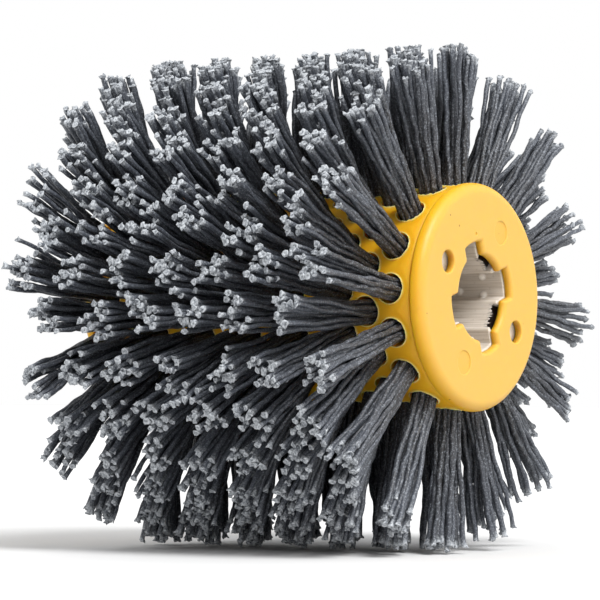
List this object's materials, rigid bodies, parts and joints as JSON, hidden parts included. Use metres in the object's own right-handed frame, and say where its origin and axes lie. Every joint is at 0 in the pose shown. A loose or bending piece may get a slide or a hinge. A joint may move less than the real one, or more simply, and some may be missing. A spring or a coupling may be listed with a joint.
{
  "type": "wheel brush",
  "caption": "Cylindrical wheel brush of crimped abrasive nylon tufts on a keyed hub, driven through its bore to burnish, sand or scrub a surface.",
  "frame": {"origin": "middle of the brush, on its spin axis", "axes": "+Y along the spin axis; X and Z across it; the keyways are turned 17 degrees from +X towards +Z"},
  "size_m": [0.1204, 0.1, 0.1204],
  "materials": {
    "cap": "satin moulded, yellow",
    "shell": "satin moulded, deeper yellow",
    "core": "matte, pale grey with fine lengthwise drag lines",
    "filament": "matte, charcoal with grit, pale cut tips"
  },
  "bodies": {
    "root": {"front_end_cap": "cap", "rear_end_cap": "cap", "keyed_core": "core", "drum_shell": "shell", "tuft_row_01": "filament", "tuft_row_02": "filament", "tuft_row_03": "filament", "tuft_row_04": "filament", "tuft_row_05": "filament", "tuft_row_06": "filament", "tuft_row_07": "filament", "tuft_row_08": "filament", "tuft_row_09": "filament", "tuft_row_10": "filament", "tuft_row_11": "filament", "tuft_row_12": "filament", "tuft_row_13": "filament", "tuft_row_14": "filament", "tuft_row_15": "filament", "tuft_row_16": "filament", "tuft_row_17": "filament", "tuft_row_18": "filament", "tuft_row_19": "filament", "tuft_row_20": "filament", "tuft_row_21": "filament", "tuft_row_22": "filament", "tuft_row_23": "filament", "tuft_row_24": "filament", "tuft_row_25": "filament", "tuft_row_26": "filament", "tuft_row_27": "filament", "tuft_row_28": "filament", "tuft_row_29": "filament", "tuft_row_30": "filament", "tuft_row_31": "filament", "tuft_row_32": "filament"}
  },
  "joints": []
}
